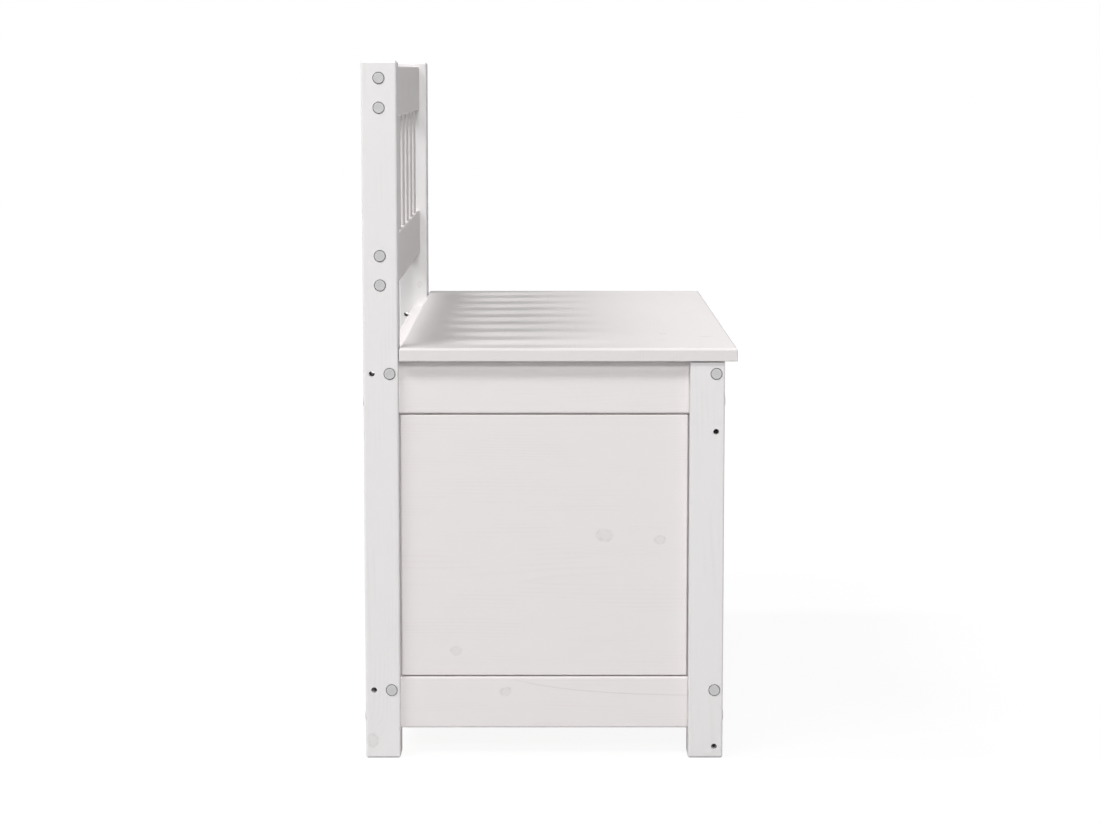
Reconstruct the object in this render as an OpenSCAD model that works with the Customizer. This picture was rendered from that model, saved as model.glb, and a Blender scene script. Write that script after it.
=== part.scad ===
// Wooden chest bench with a slatted back.
// X runs along the bench, -Y is the front where people sit down, Z is up.
// The origin is on the floor, in the middle of the bench's outer box.
// Lengths are in millimetres.

/* [Bench] */
// Length of the seat board
bench_length = 800; // [600:10:1200]
// Depth from the front of the seat to the back of the posts
bench_depth = 410; // [340:5:520]
// Height of the rear posts
bench_height = 770; // [720:5:900]
// Height of the sitting surface above the floor
seat_height = 459; // [400:1:500]

/* [Seat board] */
// Thickness of the seat board
seat_thickness = 15; // [14:1:20]
// How far the seat board stands out past each side of the frame
seat_side_overhang = 4; // [3:1:20]
// How far the seat board stands out in front of the front legs
seat_front_overhang = 13.5; // [5:0.5:30]
// Rounding of the seat board's upper edges
seat_top_radius = 3.4; // [3.4:0.1:5]
// Rounding of the seat board's lower edges and upright corners
seat_arris_radius = 1; // [0.5:0.1:3]
// Width of the battens under the seat board
batten_width = 34; // [24:1:50]
// Thickness of the battens under the seat board
batten_thickness = 15; // [12:1:22]
// Distance between the middles of the two battens
batten_spacing = 300; // [200:10:380]

/* [Legs and rails] */
// Side of the square posts and legs
post_size = 38.5; // [36:0.5:50]
// Height of every rail
rail_height = 58; // [54:1:70]
// Thickness of every rail
rail_thickness = 19; // [18:0.5:24]
// Rounding of the long edges of posts, legs and rails
timber_edge_radius = 2.4; // [1:0.1:4]
// Bevel round the feet and the tops of the rear posts
end_bevel = 2; // [1:0.5:4]
// Bevel round the tops of the front legs, close under the seat
leg_top_bevel = 0.6; // [0.4:0.1:2]
// Height of the gap under the bottom rails
foot_clearance = 32; // [20:1:60]

/* [Panels and floor] */
// Thickness of the panels
panel_thickness = 12; // [10:0.5:14]
// How far a panel lies back from the face of its rails
panel_setback = 1.3; // [0.5:0.1:3]
// Shadow gap between a panel and the timber round it
panel_gap = 1.4; // [0.5:0.1:3]
// Bevel round the faces of a panel
panel_bevel = 0.8; // [0.5:0.1:2]
// Thickness of the tongue round a panel
tongue_thickness = 6; // [5:0.5:8]
// Depth of the tongue round a panel
tongue_depth = 8; // [6:1:9]
// Thickness of the floor board inside the chest
floor_thickness = 9; // [6:1:12]
// Side of the square cleats that carry the floor board
cleat_size = 15; // [12:1:18]

/* [Backrest] */
// Number of upright slats
slat_count = 7; // [4:1:9]
// Width of a slat
slat_width = 44; // [34:1:50]
// Thickness of a slat
slat_thickness = 13; // [11:0.5:14]
// Height of the top of the backrest below the top of the posts
back_drop = 5.4; // [3:0.1:20]
// Height between the seat and the lower rail of the backrest
back_gap = 55; // [45:1:90]
// Depth of the tenons at the ends of the slats
tenon_depth = 12; // [10:1:16]

/* [Fixings] */
// Distance from a rail's edge to the bolt beside it
bolt_edge_distance = 13; // [12:0.5:16]
// Diameter of the bolts
bolt_diameter = 6; // [5:0.5:7]
// Diameter of the recesses for the bolt heads
recess_diameter = 13; // [12:0.5:14]
// Shadow gap between a cap and its recess
cap_gap = 0.7; // [0.4:0.1:1]
// How far the caps stand out
cap_height = 1.3; // [1:0.1:2]
// Diameter of the barrel nuts
nut_diameter = 10; // [9:0.5:11]
// Distance from the end of a rail to its barrel nut
nut_distance = 30; // [24:1:36]
// Diameter of the dowels
dowel_diameter = 8; // [6:1:10]
// Length of the dowels
dowel_length = 24; // [20:1:28]

/* [Lid hinges] */
// Distance between the middles of the two hinges
hinge_spacing = 500; // [450:10:540]
// Length of a hinge
hinge_length = 60; // [50:2:70]
// Thickness of the hinge steel
hinge_steel = 1.5; // [1.2:0.1:1.8]
// Diameter of the hinge pins
pin_diameter = 3; // [2.5:0.1:3.2]
// Distance of the pin from the lid's top face and from its rear edge
pin_inset = 5; // [5:0.1:5.4]
// Rounding of the leaves' corners
leaf_corner = 5; // [2:0.5:8]

/* [Hidden] */
$fn = 48;
// Overlap that lets cuts break cleanly through a face
through = 1;
// Loose fit round tongues, tenons and pins, on each side
fit = 0.2;
pin_fit = 0.05;
snug_fit = 0.05;
// Space between the lid and what it passes or rests near
lid_gap = 1;
lid_rest_gap = 0.3;

// Plan of the frame
frame_half_length = bench_length / 2 - seat_side_overhang;
leg_x = frame_half_length - post_size / 2;
inner_length = 2 * (frame_half_length - post_size);
rear_y = (bench_depth - cap_height) / 2;
seat_front_y = rear_y - bench_depth;
post_front_y = rear_y - post_size;
leg_front_y = seat_front_y + seat_front_overhang;
leg_back_y = leg_front_y + post_size;
inner_depth = post_front_y - leg_back_y;
middle_y = (post_front_y + leg_back_y) / 2;
side_setback = (post_size - rail_thickness) / 2;

// Heights of the frame
lid_underside = seat_height - seat_thickness;
leg_height = lid_underside - lid_gap;
top_rail_z = leg_height - rail_height;
bottom_rail_z = foot_clearance;
panel_opening = top_rail_z - bottom_rail_z - rail_height;
panel_middle_z = (top_rail_z + bottom_rail_z + rail_height) / 2;
back_top_rail_z = bench_height - back_drop - rail_height;
back_low_rail_z = seat_height + back_gap;

// Seat board
seat_rear_y = post_front_y - lid_gap;
seat_depth = seat_rear_y - seat_front_y;
seat_middle_y = (seat_rear_y + seat_front_y) / 2;
batten_front_margin = 45;
batten_rear_margin = 30;
batten_edge_radius = 2;
batten_length = seat_depth - seat_front_overhang - rail_thickness - batten_front_margin - batten_rear_margin;
batten_middle_y = seat_rear_y - batten_rear_margin - batten_length / 2;
batten_screw_spacing = batten_length / 2 - 20;
pad_diameter = 12;
pad_height = lid_gap - lid_rest_gap;
rail_pad_x = inner_length / 5;

// Panels and floor
groove_thickness = tongue_thickness + 2 * fit;
groove_depth = tongue_depth + 2 * fit;
floor_gap = 1;
floor_underside = bottom_rail_z + cleat_size + 5;
floor_half_length = frame_half_length - side_setback - rail_thickness - floor_gap;
floor_front_y = leg_front_y + rail_thickness + floor_gap;
floor_rear_y = post_front_y - floor_gap;
cleat_end_gap = 2;
cleat_edge_radius = 1;

// Bolts, nuts, caps and dowels
recess_depth = 7;
bolt_head_diameter = 1.7 * bolt_diameter;
bolt_head_height = bolt_diameter;
socket_across_corners = 4.6;
socket_depth = 3;
cap_diameter = recess_diameter - 2 * cap_gap;
cap_stem_diameter = 3.8;
cap_bevel = 0.5;
bolt_clearance = 0.4;
bolt_tip = nut_diameter / 2 + 3;
bolt_length = post_size - recess_depth + nut_distance + bolt_tip;
nut_length = 12;
nut_slot_width = 1.4;
nut_slot_depth = 1.2;
nut_hole_depth = rail_thickness / 2 + nut_length / 2 + fit;
dowel_hole_length = dowel_length + 1;

// Screws
screw_diameter = 3;
screw_head_diameter = 5.6;
screw_head_height = 1.4;
cleat_screw_length = cleat_size + 10;
batten_screw_length = batten_thickness + 9;
leaf_screw_length = 12;

// Hinges
knuckle_radius = pin_diameter / 2 + 1.3;
knuckle_gap = 0.3;
knuckle_length = (hinge_length - 2 * knuckle_gap) / 3;
pin_y = seat_rear_y - pin_inset;
pin_z = seat_height - pin_inset;
recess_length = hinge_length + 2;
recess_top = knuckle_radius + fit;
recess_front = knuckle_radius + 2 * fit;
leaf_reach = 38;
leaf_drop = 36;
leaf_jog_z = leg_height - 2 * hinge_steel;
leaf_screw_inset = 11;
leaf_screw_spacing = hinge_length / 3;

// Walls of the frame. In each one X runs along the wall from its middle, Y = 0 is the
// outer face of the rails, +Y goes inwards and Z is the height above the floor.
FRONT = 0;
REAR = 1;
LEFT = 2;
RIGHT = 3;
BACKREST = 4;

function wall_span(wall) = wall == LEFT || wall == RIGHT ? inner_depth : inner_length;

function rail_bottoms(wall) =
    wall == BACKREST ? [back_low_rail_z, back_top_rail_z] : [bottom_rail_z, top_rail_z];

// Cross rails take their bolt near the upper edge and side rails near the lower edge,
// so that the bolts pass each other inside a leg. Backrest rails take both.
function bolt_heights(wall) = [
    for (z = rail_bottoms(wall))
        for (level = [bolt_edge_distance, rail_height - bolt_edge_distance])
            if (wall == BACKREST || (level < rail_height / 2) == (wall == LEFT || wall == RIGHT))
                z + level
];

function dowel_heights(wall) =
    wall == BACKREST ? [] : [for (z = rail_bottoms(wall)) z + rail_height / 2];

module on_wall(wall) {
    if (wall == FRONT)
        translate([0, leg_front_y, 0]) children();
    if (wall == REAR)
        translate([0, post_front_y + rail_thickness, 0]) rotate([0, 0, 180]) children();
    if (wall == LEFT)
        translate([side_setback - frame_half_length, middle_y, 0]) rotate([0, 0, -90]) children();
    if (wall == RIGHT)
        translate([frame_half_length - side_setback, middle_y, 0]) rotate([0, 0, 90]) children();
    if (wall == BACKREST)
        translate([0, rear_y - (post_size + rail_thickness) / 2, 0]) children();
}

module at_bolts(wall) {
    on_wall(wall)
        for (end = [-1, 1], z = bolt_heights(wall))
            translate([end * (wall_span(wall) / 2 + post_size), rail_thickness / 2, z])
                rotate([0, -90 * end, 0]) children();
}

module at_nuts(wall) {
    on_wall(wall)
        for (end = [-1, 1], z = bolt_heights(wall))
            translate([end * (wall_span(wall) / 2 - nut_distance), rail_thickness, z])
                rotate([90, 0, 0]) children();
}

module at_dowels(wall) {
    on_wall(wall)
        for (end = [-1, 1], z = dowel_heights(wall))
            translate([end * wall_span(wall) / 2, rail_thickness / 2, z])
                rotate([0, 90, 0]) children();
}

// Profiles and plain timber

module rounded_rectangle(width, height, radius) {
    square([width - 2 * radius, height], center = true);
    square([width, height - 2 * radius], center = true);
    for (x = [-1, 1], y = [-1, 1])
        translate([x * (width / 2 - radius), y * (height / 2 - radius)]) circle(radius);
}

module bevelled_rectangle(width, height, bevel) {
    x = width / 2;
    y = height / 2;
    polygon([
        [-x + bevel, -y], [x - bevel, -y], [x, -y + bevel], [x, y - bevel],
        [x - bevel, y], [-x + bevel, y], [-x, y - bevel], [-x, -y + bevel]
    ]);
}

// A side view of an upright: bevelled at its foot and its top
module upright_outline(height, top_bevel) {
    x = post_size / 2;
    polygon([
        [-x + end_bevel, 0], [x - end_bevel, 0], [x, end_bevel], [x, height - top_bevel],
        [x - top_bevel, height], [-x + top_bevel, height], [-x, height - top_bevel], [-x, end_bevel]
    ]);
}

// A square upright with rounded long edges and bevelled ends, standing on the floor
module upright(height, top_bevel) {
    wide = post_size + 2 * through;
    intersection() {
        linear_extrude(height) rounded_rectangle(post_size, post_size, timber_edge_radius);
        rotate([90, 0, 0])
            linear_extrude(wide, center = true) upright_outline(height, top_bevel);
        rotate([90, 0, 90])
            linear_extrude(wide, center = true) upright_outline(height, top_bevel);
    }
}

// A bar along X with rounded long edges, from Y = 0 inwards and from Z = 0 up
module bar(length, thickness, height, radius = timber_edge_radius) {
    translate([0, thickness / 2, height / 2])
        rotate([90, 0, 90])
            linear_extrude(length, center = true)
                rounded_rectangle(thickness, height, radius);
}

// Bores and fixings. Local +Z runs into the wood from its surface.

module bolt_bore() {
    translate([0, 0, -through])
        cylinder(d = recess_diameter, h = recess_depth + through);
    cylinder(d = bolt_diameter + bolt_clearance, h = recess_depth + bolt_length + through);
}

module bolt() {
    difference() {
        union() {
            translate([0, 0, recess_depth - bolt_head_height])
                cylinder(d = bolt_head_diameter, h = bolt_head_height);
            translate([0, 0, recess_depth]) cylinder(d = bolt_diameter, h = bolt_length);
        }
        translate([0, 0, recess_depth - bolt_head_height - through])
            cylinder(d = socket_across_corners, h = socket_depth + through, $fn = 6);
    }
}

// A cap in its recess: it rests on the bolt head and its stem sits in the head's socket
module bolt_cap() {
    rotate_extrude()
        polygon([
            [0, -cap_height],
            [cap_diameter / 2 - cap_bevel, -cap_height],
            [cap_diameter / 2, cap_bevel - cap_height],
            [cap_diameter / 2, recess_depth - bolt_head_height],
            [cap_stem_diameter / 2, recess_depth - bolt_head_height],
            [cap_stem_diameter / 2, recess_depth - bolt_head_height + socket_depth - fit],
            [0, recess_depth - bolt_head_height + socket_depth - fit]
        ]);
}

module nut_bore() {
    translate([0, 0, -through])
        cylinder(d = nut_diameter + 2 * snug_fit, h = nut_hole_depth + through);
}

// A barrel nut with the cross hole for its bolt and the slot that turns it into line
module barrel_nut() {
    end = (rail_thickness - nut_length) / 2;
    difference() {
        translate([0, 0, end]) cylinder(d = nut_diameter, h = nut_length);
        translate([0, 0, rail_thickness / 2])
            rotate([0, 90, 0])
                cylinder(d = bolt_diameter + 2 * snug_fit, h = nut_diameter + through, center = true);
        translate([0, 0, end])
            cube([nut_diameter + through, nut_slot_width, 2 * nut_slot_depth], center = true);
    }
}

module dowel() {
    intersection() {
        cylinder(d = dowel_diameter, h = dowel_length, center = true);
        rotate([90, 0, 0])
            linear_extrude(dowel_diameter + through, center = true)
                bevelled_rectangle(dowel_diameter, dowel_length, 1);
        rotate([90, 0, 90])
            linear_extrude(dowel_diameter + through, center = true)
                bevelled_rectangle(dowel_diameter, dowel_length, 1);
    }
}

module dowel_bore() {
    cylinder(d = dowel_diameter + 2 * snug_fit, h = dowel_hole_length, center = true);
}

module screw(length) {
    cylinder(d1 = screw_head_diameter, d2 = screw_diameter, h = screw_head_height);
    cylinder(d = screw_diameter, h = length);
}

module screw_bore(length) {
    head = screw_head_diameter + 2 * snug_fit;
    shank = screw_diameter + 2 * snug_fit;
    cylinder(d1 = head, d2 = shank, h = screw_head_height);
    translate([0, 0, -through]) cylinder(d = head, h = through);
    cylinder(d = shank, h = length + snug_fit);
}

// Panels in their grooves

module panel(wall) {
    field_width = wall_span(wall) - 2 * panel_gap;
    field_height = panel_opening - 2 * panel_gap;
    translate([0, 0, panel_middle_z]) {
        translate([0, panel_setback + panel_thickness / 2, 0])
            intersection() {
                linear_extrude(field_height, center = true)
                    bevelled_rectangle(field_width, panel_thickness, panel_bevel);
                rotate([90, 0, 90])
                    linear_extrude(field_width, center = true)
                        bevelled_rectangle(panel_thickness, field_height, panel_bevel);
            }
        translate([0, rail_thickness / 2, 0])
            cube([
                wall_span(wall) + 2 * tongue_depth,
                tongue_thickness,
                panel_opening + 2 * tongue_depth
            ], center = true);
    }
}

module panel_groove(wall) {
    translate([0, rail_thickness / 2, panel_middle_z])
        cube([wall_span(wall) + 2 * groove_depth, groove_thickness, panel_opening + 2 * groove_depth],
            center = true);
}

module wall_panel(wall) {
    color("whitesmoke") on_wall(wall) panel(wall);
}

// Every bore and groove that one wall cuts into the timber round it

module base_joinery(wall) {
    at_bolts(wall) bolt_bore();
    at_nuts(wall) nut_bore();
    at_dowels(wall) dowel_bore();
    on_wall(wall) panel_groove(wall);
}

module backrest_joinery() {
    at_bolts(BACKREST) bolt_bore();
    at_nuts(BACKREST) nut_bore();
}

// Legs and posts. Each is one part for both ends of the bench, so that it also has the
// cross bores that it would need at the other end.

module spare_bore(side, y, z) {
    translate([side * leg_x, y, z])
        rotate([0, 90, 0])
            cylinder(d = bolt_diameter + bolt_clearance, h = post_size + 2 * through, center = true);
}

module front_leg(side) {
    color("white")
        difference() {
            translate([side * leg_x, leg_front_y + post_size / 2, 0]) upright(leg_height, leg_top_bevel);
            base_joinery(FRONT);
            base_joinery(side < 0 ? LEFT : RIGHT);
            for (z = bolt_heights(FRONT))
                spare_bore(side, leg_front_y + rail_thickness / 2, leg_height - z);
        }
}

module rear_post(side) {
    color("white")
        difference() {
            translate([side * leg_x, rear_y - post_size / 2, 0]) upright(bench_height, end_bevel);
            base_joinery(REAR);
            base_joinery(side < 0 ? LEFT : RIGHT);
            backrest_joinery();
            for (z = bolt_heights(REAR))
                spare_bore(side, rear_y - rail_thickness / 2, z);
        }
}

// Rails

module base_rail(wall, z) {
    color("white")
        difference() {
            on_wall(wall)
                translate([0, 0, z]) bar(wall_span(wall), rail_thickness, rail_height);
            base_joinery(wall);
            if (z == bottom_rail_z)
                cleat_screws(wall, true);
            if (wall == REAR && z == top_rail_z)
                frame_leaf_screws(true);
        }
}

module back_rail(z) {
    color("white")
        difference() {
            on_wall(BACKREST)
                translate([0, 0, z]) bar(inner_length, rail_thickness, rail_height);
            backrest_joinery();
            for (number = [1 : slat_count])
                slat_tenons(number, fit);
        }
}

// Backrest slats

slat_spacing = (inner_length - slat_count * slat_width) / (slat_count + 1) + slat_width;
slat_length = back_top_rail_z - back_low_rail_z - rail_height;
slat_middle_z = (back_top_rail_z + back_low_rail_z + rail_height) / 2;
slat_edge_radius = 2;
tenon_shoulder = 5;
tenon_thickness = slat_thickness - 5;

function slat_x(number) = (number - (slat_count + 1) / 2) * slat_spacing;

module slat_tenons(number, clearance) {
    on_wall(BACKREST)
        translate([slat_x(number), rail_thickness / 2, slat_middle_z])
            cube([
                slat_width - 2 * tenon_shoulder + 2 * clearance,
                tenon_thickness + 2 * clearance,
                slat_length + 2 * tenon_depth + 2 * clearance
            ], center = true);
}

module back_slat(number) {
    color("white") {
        on_wall(BACKREST)
            translate([slat_x(number), rail_thickness / 2, slat_middle_z])
                linear_extrude(slat_length, center = true)
                    rounded_rectangle(slat_width, slat_thickness, slat_edge_radius);
        slat_tenons(number, 0);
    }
}

// Floor of the chest and the cleats under it

// The side cleats end short of the barrel nuts in their rails
function cleat_length(wall) =
    wall == LEFT || wall == RIGHT
        ? inner_depth - 2 * (nut_distance + nut_diameter / 2 + cleat_end_gap)
        : inner_length - 2 * cleat_end_gap;

function cleat_screw_places(wall) =
    [for (step = wall == LEFT || wall == RIGHT ? [-1, 1] : [-3, -1, 1, 3]) step * cleat_length(wall) / 8];

module cleat_screws(wall, as_bores = false) {
    on_wall(wall)
        for (x = cleat_screw_places(wall))
            translate([x, rail_thickness + cleat_size, floor_underside - cleat_size / 2])
                rotate([90, 0, 0])
                    if (as_bores) screw_bore(cleat_screw_length);
                    else screw(cleat_screw_length);
}

module floor_cleat(wall) {
    color("burlywood")
        difference() {
            on_wall(wall)
                translate([0, rail_thickness, floor_underside - cleat_size])
                    bar(cleat_length(wall), cleat_size, cleat_size, cleat_edge_radius);
            cleat_screws(wall, true);
        }
}

module floor_board() {
    depth = floor_rear_y - floor_front_y;
    notch_x = inner_length / 2 - floor_gap;
    color("burlywood")
        difference() {
            translate([-floor_half_length, floor_front_y, floor_underside])
                cube([2 * floor_half_length, depth, floor_thickness]);
            for (side = [-1, 1])
                translate([side * (notch_x + post_size / 2), leg_back_y + floor_gap - post_size / 2,
                        floor_underside + floor_thickness / 2])
                    cube([post_size, post_size, 2 * floor_thickness], center = true);
        }
}

// Seat board, its battens and pads

// The seat board's side view: rounder at its top than at its bottom
module seat_outline(width) {
    x = width / 2;
    translate([-x, seat_arris_radius]) square([width, seat_thickness - seat_arris_radius - seat_top_radius]);
    translate([seat_arris_radius - x, 0]) square([width - 2 * seat_arris_radius, seat_thickness / 2]);
    translate([seat_top_radius - x, seat_thickness / 2])
        square([width - 2 * seat_top_radius, seat_thickness / 2]);
    for (side = [-1, 1]) {
        translate([side * (x - seat_arris_radius), seat_arris_radius]) circle(seat_arris_radius);
        translate([side * (x - seat_top_radius), seat_thickness - seat_top_radius])
            circle(seat_top_radius);
    }
}

module seat_blank() {
    translate([0, seat_middle_y, lid_underside])
        intersection() {
            linear_extrude(seat_thickness)
                rounded_rectangle(bench_length, seat_depth, seat_arris_radius);
            rotate([90, 0, 0]) linear_extrude(seat_depth, center = true) seat_outline(bench_length);
            rotate([90, 0, 90]) linear_extrude(bench_length, center = true) seat_outline(seat_depth);
        }
}

module hinge_recess() {
    below = pin_z + recess_top - lid_underside + through;
    behind = pin_inset + recess_front + through;
    translate([-recess_length / 2, pin_y - recess_front, pin_z + recess_top - below])
        cube([recess_length, behind, below]);
}

module seat_lid() {
    color("white")
        difference() {
            seat_blank();
            at_hinges() hinge_recess();
            lid_leaf_screws(true);
            batten_screws(true);
        }
}

module at_battens() {
    for (side = [-1, 1])
        translate([side * batten_spacing / 2, batten_middle_y, lid_underside - batten_thickness])
            children();
}

module batten_screws(as_bores = false) {
    at_battens()
        for (step = [-1 : 1])
            translate([0, step * batten_screw_spacing, 0])
                if (as_bores) screw_bore(batten_screw_length);
                else screw(batten_screw_length);
}

module seat_batten(side) {
    color("burlywood")
        difference() {
            translate([side * batten_spacing / 2, batten_middle_y, lid_underside - batten_thickness])
                rotate([0, 0, 90])
                    translate([0, -batten_width / 2, 0])
                        bar(batten_length, batten_width, batten_thickness, batten_edge_radius);
            batten_screws(true);
        }
}

module lid_pads() {
    pad_y = leg_front_y + post_size / 2;
    rail_pad_y = leg_front_y + rail_thickness / 2;
    color("dimgray")
        for (place = [
                [-leg_x, pad_y], [-rail_pad_x, rail_pad_y], [rail_pad_x, rail_pad_y], [leg_x, pad_y]
            ])
            translate([place[0], place[1], leg_height]) cylinder(d = pad_diameter, h = pad_height);
}

// Hinges, drawn about their own middle. The knuckles lie in a recess in the lid's rear
// edge, so that the lid turns close in front of the posts.

module at_hinges() {
    for (side = [-1, 1])
        translate([side * hinge_spacing / 2, 0, 0]) children();
}

module knuckle() {
    translate([0, pin_y, pin_z])
        rotate([0, 90, 0]) cylinder(r = knuckle_radius, h = knuckle_length, center = true);
}

// A flat piece of the hinge's steel between two corners, given in Y and Z
module leaf_strip(length, low, high) {
    translate([-length / 2, low[0], low[1]])
        cube([length, high[0] - low[0], high[1] - low[1]]);
}

module pin_hole() {
    translate([0, pin_y, pin_z])
        rotate([0, 90, 0])
            cylinder(d = pin_diameter + 2 * pin_fit, h = hinge_length + through, center = true);
}

// A leaf's screw plate in X and Y: straight at Y = 0, with rounded corners at its far end
module screw_plate(reach) {
    linear_extrude(hinge_steel) {
        translate([-hinge_length / 2, 0]) square([hinge_length, reach - leaf_corner]);
        translate([leaf_corner - hinge_length / 2, 0])
            square([hinge_length - 2 * leaf_corner, reach]);
        for (side = [-1, 1])
            translate([side * (hinge_length / 2 - leaf_corner), reach - leaf_corner])
                circle(leaf_corner);
    }
}

module frame_leaf() {
    rear = pin_y + knuckle_radius;
    jog_top = leaf_jog_z + hinge_steel;
    difference() {
        union() {
            knuckle();
            leaf_strip(knuckle_length, [rear - hinge_steel, leaf_jog_z], [rear, pin_z]);
            leaf_strip(hinge_length, [rear - hinge_steel, leaf_jog_z], [post_front_y, jog_top]);
            translate([0, post_front_y - hinge_steel, jog_top])
                rotate([-90, 0, 0]) screw_plate(jog_top - leg_height + leaf_drop);
        }
        pin_hole();
    }
}

module lid_leaf() {
    front = pin_y - knuckle_radius;
    difference() {
        union() {
            for (side = [-1, 1])
                translate([side * (knuckle_length + knuckle_gap), 0, 0]) {
                    knuckle();
                    leaf_strip(knuckle_length, [front, lid_underside - hinge_steel],
                        [front + hinge_steel, pin_z]);
                }
            translate([0, front + hinge_steel, lid_underside])
                rotate([180, 0, 0]) screw_plate(leaf_reach + hinge_steel);
        }
        pin_hole();
    }
}

module frame_leaf_screws(as_bores = false) {
    at_hinges()
        for (step = [-1 : 1])
            translate([
                step * leaf_screw_spacing,
                post_front_y - hinge_steel,
                leg_height - leaf_drop + leaf_screw_inset
            ])
                rotate([-90, 0, 0])
                    if (as_bores) screw_bore(leaf_screw_length);
                    else screw(leaf_screw_length);
}

module lid_leaf_screws(as_bores = false) {
    at_hinges()
        for (step = [-1 : 1])
            translate([
                step * leaf_screw_spacing,
                pin_y - knuckle_radius - leaf_reach + leaf_screw_inset,
                lid_underside - hinge_steel
            ])
                if (as_bores) screw_bore(leaf_screw_length);
                else screw(leaf_screw_length);
}

module hinge_frame_leaves() {
    color("silver")
        difference() {
            at_hinges() frame_leaf();
            frame_leaf_screws(true);
        }
}

module hinge_lid_leaves() {
    color("silver")
        difference() {
            at_hinges() lid_leaf();
            lid_leaf_screws(true);
        }
}

module hinge_pins() {
    color("gainsboro")
        at_hinges()
            translate([0, pin_y, pin_z])
                rotate([0, 90, 0]) cylinder(d = pin_diameter, h = hinge_length, center = true);
}

// Fixings of the whole bench

module bolts(walls) {
    color("silver")
        for (wall = walls)
            at_bolts(wall) bolt();
}

module bolt_caps() {
    color("darkgray")
        for (wall = [FRONT, REAR, LEFT, RIGHT, BACKREST])
            at_bolts(wall) bolt_cap();
}

module barrel_nuts() {
    color("silver")
        for (wall = [FRONT, REAR, LEFT, RIGHT, BACKREST])
            at_nuts(wall) barrel_nut();
}

module frame_dowels() {
    color("tan")
        for (wall = [FRONT, REAR, LEFT, RIGHT])
            at_dowels(wall) dowel();
}

module floor_cleat_screws() {
    color("silver")
        for (wall = [FRONT, REAR, LEFT, RIGHT])
            cleat_screws(wall);
}

back_slats = [for (number = [1 : slat_count]) str("back_slat_", number)];

rear_post(-1);  // rear_post_left
rear_post(1);  // rear_post_right
front_leg(-1);  // front_leg_left
front_leg(1);  // front_leg_right
base_rail(LEFT, top_rail_z);  // side_rail_top_left
base_rail(RIGHT, top_rail_z);  // side_rail_top_right
base_rail(LEFT, bottom_rail_z);  // side_rail_bottom_left
base_rail(RIGHT, bottom_rail_z);  // side_rail_bottom_right
wall_panel(LEFT);  // side_panel_left
wall_panel(RIGHT);  // side_panel_right
base_rail(FRONT, top_rail_z);  // front_rail_top
base_rail(FRONT, bottom_rail_z);  // front_rail_bottom
wall_panel(FRONT);  // front_panel
base_rail(REAR, top_rail_z);  // rear_rail_top
base_rail(REAR, bottom_rail_z);  // rear_rail_bottom
wall_panel(REAR);  // rear_panel
back_rail(back_top_rail_z);  // back_rail_top
back_rail(back_low_rail_z);  // back_rail_bottom
for (number = [1 : slat_count])
    back_slat(number);
floor_board();
floor_cleat(FRONT);  // floor_cleat_front
floor_cleat(REAR);  // floor_cleat_rear
floor_cleat(LEFT);  // floor_cleat_left
floor_cleat(RIGHT);  // floor_cleat_right
seat_lid();
seat_batten(-1);  // seat_batten_left
seat_batten(1);  // seat_batten_right
lid_pads();
hinge_frame_leaves();
hinge_lid_leaves();
hinge_pins();
bolts([FRONT, REAR]);  // base_cross_bolts
bolts([LEFT, RIGHT]);  // base_side_bolts
bolts([BACKREST]);  // backrest_bolts
bolt_caps();
barrel_nuts();
frame_dowels();
floor_cleat_screws();
color("silver") batten_screws();  // seat_batten_screws
color("silver") frame_leaf_screws();  // hinge_frame_screws
color("silver") lid_leaf_screws();  // hinge_lid_screws
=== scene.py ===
"""The looks of a white painted pine chest bench with a slatted back, on its CAD frame.

X runs along the bench, -Y is the front where people sit down and Z is up, in metres.
"""

import logging
import math
import random
from collections.abc import Callable, Iterable
from dataclasses import dataclass
from enum import Enum

import bmesh
import bpy
from mathutils import Euler, Matrix, Vector


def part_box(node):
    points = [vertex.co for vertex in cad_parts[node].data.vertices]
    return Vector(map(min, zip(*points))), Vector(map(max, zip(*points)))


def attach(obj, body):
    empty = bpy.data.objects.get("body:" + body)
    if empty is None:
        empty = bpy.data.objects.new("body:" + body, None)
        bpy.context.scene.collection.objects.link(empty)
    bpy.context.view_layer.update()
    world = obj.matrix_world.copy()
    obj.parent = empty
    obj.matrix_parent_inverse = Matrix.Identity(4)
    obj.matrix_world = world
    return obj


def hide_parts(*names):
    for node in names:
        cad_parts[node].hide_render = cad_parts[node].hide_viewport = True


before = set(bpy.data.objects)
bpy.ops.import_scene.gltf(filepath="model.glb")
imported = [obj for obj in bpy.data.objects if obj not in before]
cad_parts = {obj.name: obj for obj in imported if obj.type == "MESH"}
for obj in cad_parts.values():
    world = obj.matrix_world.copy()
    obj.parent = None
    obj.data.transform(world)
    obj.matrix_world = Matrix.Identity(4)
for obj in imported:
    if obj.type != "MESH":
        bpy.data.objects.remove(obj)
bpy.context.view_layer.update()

log = logging.getLogger("bench")

MM = 0.001
X_AXIS = 0
Z_AXIS = 2
# Corners nearer to each other than this are one corner
SAME_PLACE = 0.001 * MM
# Solids are put in order by their places in metres, to this many digits
PLACE_DIGITS = 5
SHARP_ANGLE = math.radians(35)
BEVEL_SAMPLES = 4

# Numbers of the mixing node's sockets while it mixes colours
SHARE = 0
UNDER = 6
OVER = 7
MIXED = 2

# What chance may choose for the log that a board was cut from
KNOT_RADII = (3.5 * MM, 7 * MM)
# How far a knot's middle stays from the board's edges, in its own radii
KNOT_CLEARANCE = 1.7
HEART_BESIDE = 0.06
HEART_DEPTHS = (0.03, 0.09)
LARGEST_LEAN = math.radians(1.5)
# A knot is longer along the grain, because a distance that way counts for less
WEIGHT_ALONG_GRAIN = 0.75

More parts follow.
